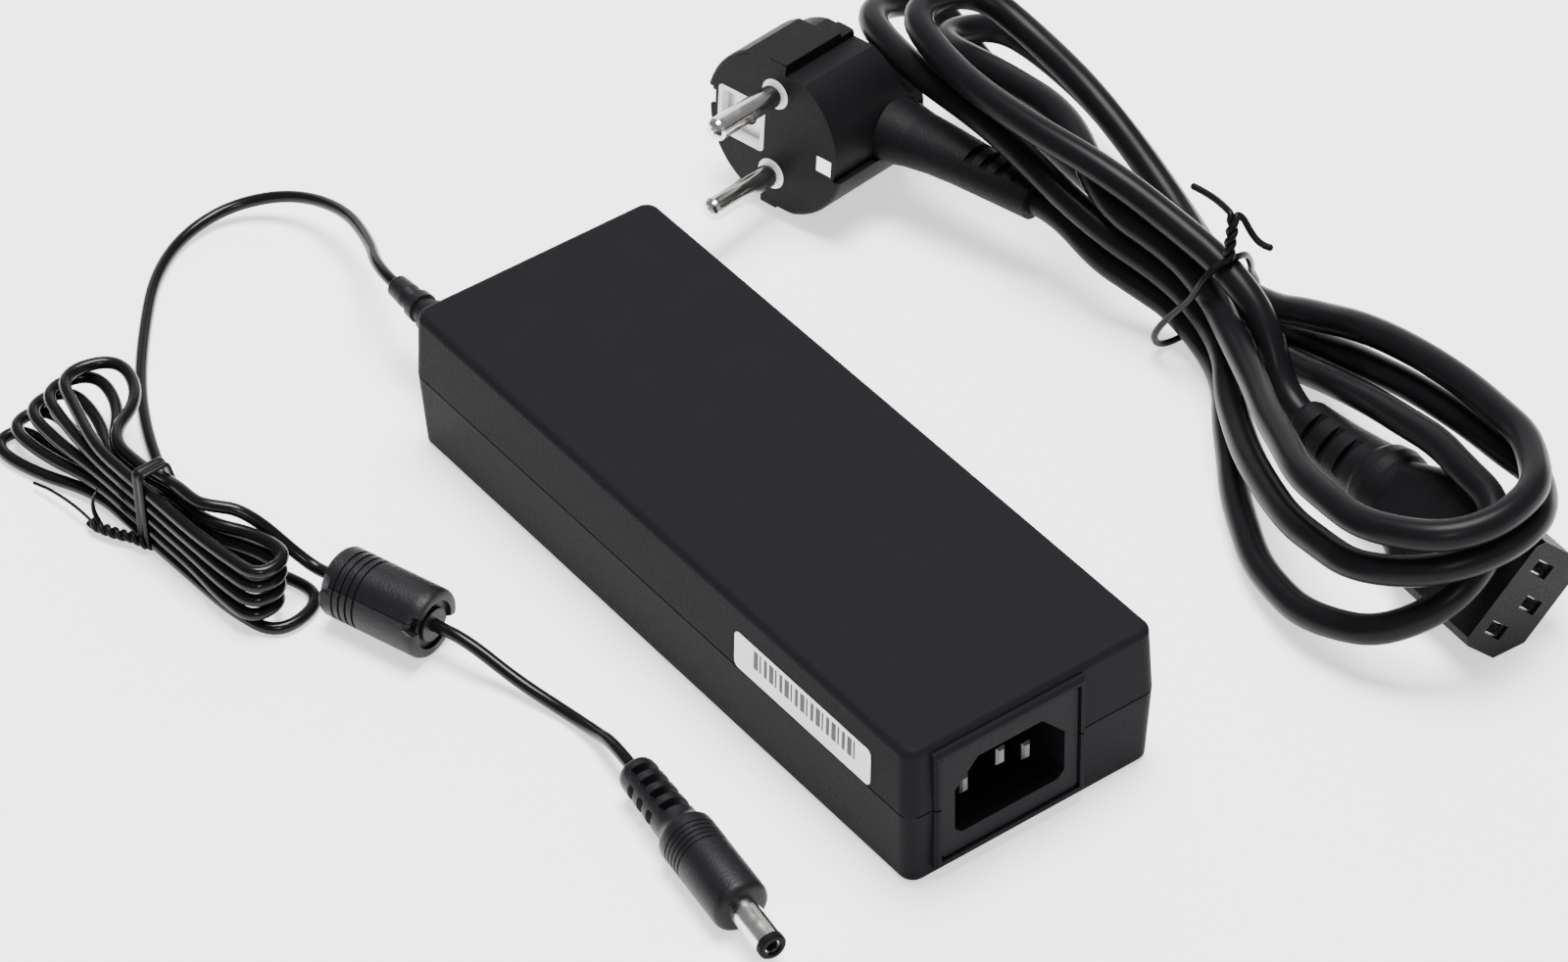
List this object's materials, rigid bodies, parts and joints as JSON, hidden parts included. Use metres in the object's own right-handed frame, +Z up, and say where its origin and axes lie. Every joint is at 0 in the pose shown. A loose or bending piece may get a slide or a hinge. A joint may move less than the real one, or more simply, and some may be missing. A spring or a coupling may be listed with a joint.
{
  "type": "laptop power adapter",
  "caption": "Boxed mains adapter with a three-blade inlet, a tied low-voltage lead with ferrite and barrel plug, and a tied mains lead",
  "frame": {"origin": "bottom centre of the casing, on the surface it rests on", "axes": "+X across the casing, away from the low-voltage lead's coil; +Y along the casing, from the mains inlet to the low-voltage lead's exit; +Z up"},
  "size_m": [0.2284, 0.2555, 0.0387],
  "materials": {
    "casing": "fine-grained black moulded plastic",
    "inlet": "smooth black moulded plastic",
    "nickel": "nickel-plated contact metal",
    "board": "green glass-fibre board",
    "sheet": "thin yellow insulating film",
    "aluminium": "bare aluminium plate",
    "device": "moulded black epoxy",
    "can": "shrink-sleeved capacitor cans",
    "film": "moulded yellow capacitor case",
    "ferrite": "sintered ferrite",
    "winding": "lacquered copper winding",
    "glass": "ceramic fuse tube",
    "steel": "steel screws",
    "cord": "flexible black PVC",
    "boot": "soft black moulded PVC",
    "white": "white moulded insert",
    "tie": "black coated tie wire",
    "bronze": "sprung contact metal"
  },
  "bodies": {
    "adapter": {"top_cover": "casing", "bottom_cover": "casing", "inlet_housing": "inlet", "inlet_neutral_blade": "nickel", "inlet_earth_blade": "nickel", "inlet_line_blade": "nickel", "circuit_board": "board", "bottom_heat_spreader": "aluminium", "top_heat_spreader": "aluminium", "insulation_sheet": "sheet", "fuse": "glass", "choke_core": "ferrite", "choke_windings": "winding", "x_capacitor": "film", "bridge_rectifier": "device", "bulk_capacitor": "can", "primary_heatsink": "aluminium", "switching_transistor": "device", "transformer_core": "ferrite", "transformer_coil": "sheet", "y_capacitor": "film", "optocoupler": "device", "secondary_heatsink": "aluminium", "output_rectifier": "device", "output_capacitors": "can", "output_choke": "winding", "heatsink_screws": "steel", "control_chip": "device", "dc_strain_relief": "boot", "dc_cord_arch": "cord", "dc_cord_hank": "cord", "dc_cord_lead": "cord", "dc_cord_core": "cord", "dc_cord_tail": "cord", "ferrite_cover_upper": "boot", "ferrite_cover_lower": "boot", "ferrite_core": "ferrite", "dc_plug_body": "boot", "dc_plug_sleeve": "nickel", "dc_plug_insulator": "device", "dc_plug_contact": "nickel", "dc_tie": "tie"},
    "mains_lead": {"mains_plug_body": "boot", "mains_plug_face": "white", "mains_plug_pins": "nickel", "mains_earth_clips": "nickel", "mains_earth_contact": "bronze", "plug_cord": "cord", "mains_cord_hank": "cord", "connector_cord": "cord", "connector_body": "boot", "connector_contacts": "bronze", "mains_tie": "tie"}
  },
  "joints": [
    {"name": "mains_lead_lift", "type": "slide", "parent": "adapter", "child": "mains_lead", "axis": [0, 0, 1], "range_m": [0, 0.12]}
  ]
}
